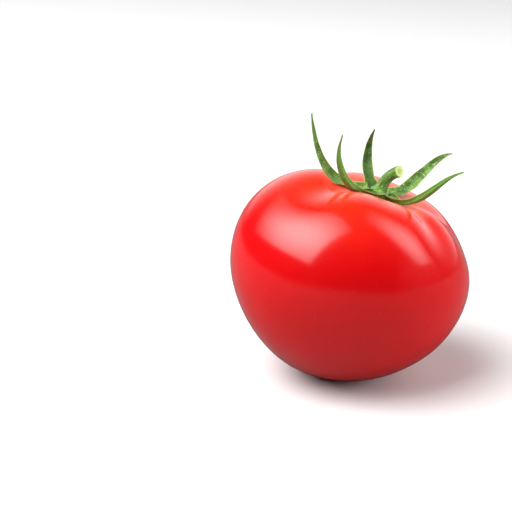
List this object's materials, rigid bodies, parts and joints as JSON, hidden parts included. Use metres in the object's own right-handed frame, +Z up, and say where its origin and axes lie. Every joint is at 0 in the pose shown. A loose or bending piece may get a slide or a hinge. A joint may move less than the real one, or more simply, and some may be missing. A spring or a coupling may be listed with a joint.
{
  "type": "tomato",
  "caption": "Whole ripe round tomato with a shallow-ribbed shoulder, a calyx of curled sepals in the stem hollow and a cut stub of stem, leaning on its rest spot.",
  "frame": {"origin": "bottom centre of the fruit's box, level with the rest spot", "axes": "+Z up, front at -Y; the stem end leans 20 degrees towards +X and 4 degrees back towards +Y"},
  "size_m": [0.0752, 0.076, 0.0881],
  "materials": {
    "skin": "thin waxy tomato skin, glossy, deep red with orange-red shoulders",
    "calyx": "fresh green plant tissue, finely hairy, speckled",
    "sepals": "fresh green leaf tissue, satin, paler along the edges, olive at the tips",
    "stem": "fresh green stalk, finely hairy, with a pale cut end"
  },
  "bodies": {
    "root": {"fruit": "skin", "calyx_disc": "calyx", "sepal_left": "sepals", "sepal_front_left": "sepals", "sepal_back": "sepals", "sepal_right_back": "sepals", "sepal_right_front": "sepals", "stem": "stem"}
  },
  "joints": []
}
